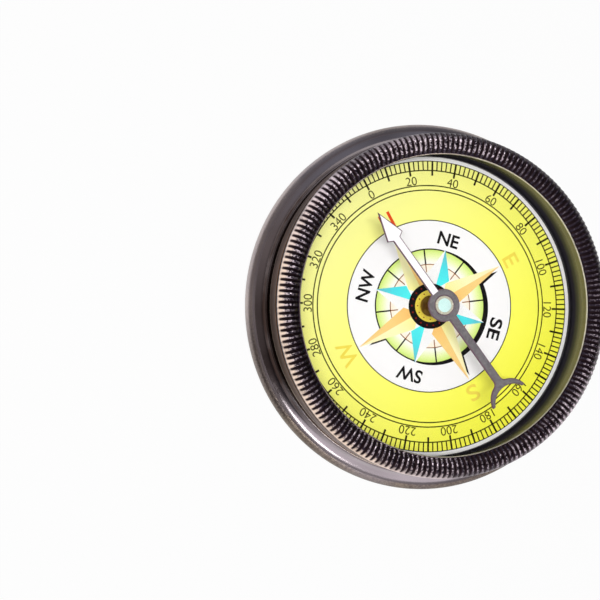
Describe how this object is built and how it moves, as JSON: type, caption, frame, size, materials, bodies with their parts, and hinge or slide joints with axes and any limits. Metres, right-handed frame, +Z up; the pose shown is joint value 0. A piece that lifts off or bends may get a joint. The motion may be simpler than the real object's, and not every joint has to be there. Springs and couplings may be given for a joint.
{
  "type": "pocket compass",
  "caption": "Open-face pocket compass: turned brass case with a flared base, screwed bezel with a reeded bead and flat glass, printed dial, and a needle turning on a steel point.",
  "frame": {"origin": "middle of the flat foot under the case, on the needle's axis", "axes": "+Z up along the needle's axis, +Y towards the dial's north mark, +X towards its east mark"},
  "size_m": [0.076, 0.076, 0.017],
  "materials": {
    "case_brass": "antiqued dark brown-grey, bare brass on worn edges",
    "bezel_brass": "blackened brass, bright on the crests of the reeds",
    "plate_brass": "turned, bare",
    "printed_card": "coated card printed in yellow, black, orange and blue",
    "black_spring": "blackened spring steel",
    "bright_steel": "polished",
    "needle_steel": "north end white, south end dark grey",
    "jewel_glass": "polished",
    "seal_rubber": "matte",
    "clear_glass": "clear, flat, polished"
  },
  "bodies": {
    "case": {"case_body": "case_brass", "dial_plate": "plate_brass", "dial_card": "printed_card", "dial_ring": "black_spring", "pivot_post": "plate_brass", "post_nut": "plate_brass", "pivot_pin": "bright_steel", "bezel_gasket": "seal_rubber"},
    "needle": {"needle_blade": "needle_steel", "needle_bush": "bright_steel", "needle_jewel": "jewel_glass"},
    "glazing": {"crystal": "clear_glass", "crystal_clip": "black_spring"},
    "bezel": {"bezel": "bezel_brass"}
  },
  "joints": [
    {"name": "needle_swing", "type": "hinge", "parent": "case", "child": "needle", "pos_m": [0, 0, 0.0134], "axis": [0, 0, 1], "continuous": true},
    {"name": "glazing_lift", "type": "slide", "parent": "case", "child": "glazing", "axis": [0, 0, 1], "range_m": [0, 0.004]},
    {"name": "bezel_turn", "type": "hinge", "parent": "glazing", "child": "bezel", "pos_m": [0, 0, 0.0105], "axis": [0, 0, 1], "range_deg": [0, 1440]}
  ],
  "couplings": [
    {"joint": "glazing_lift", "follows": "bezel_turn", "m_per_rad": 0.00015915}
  ]
}
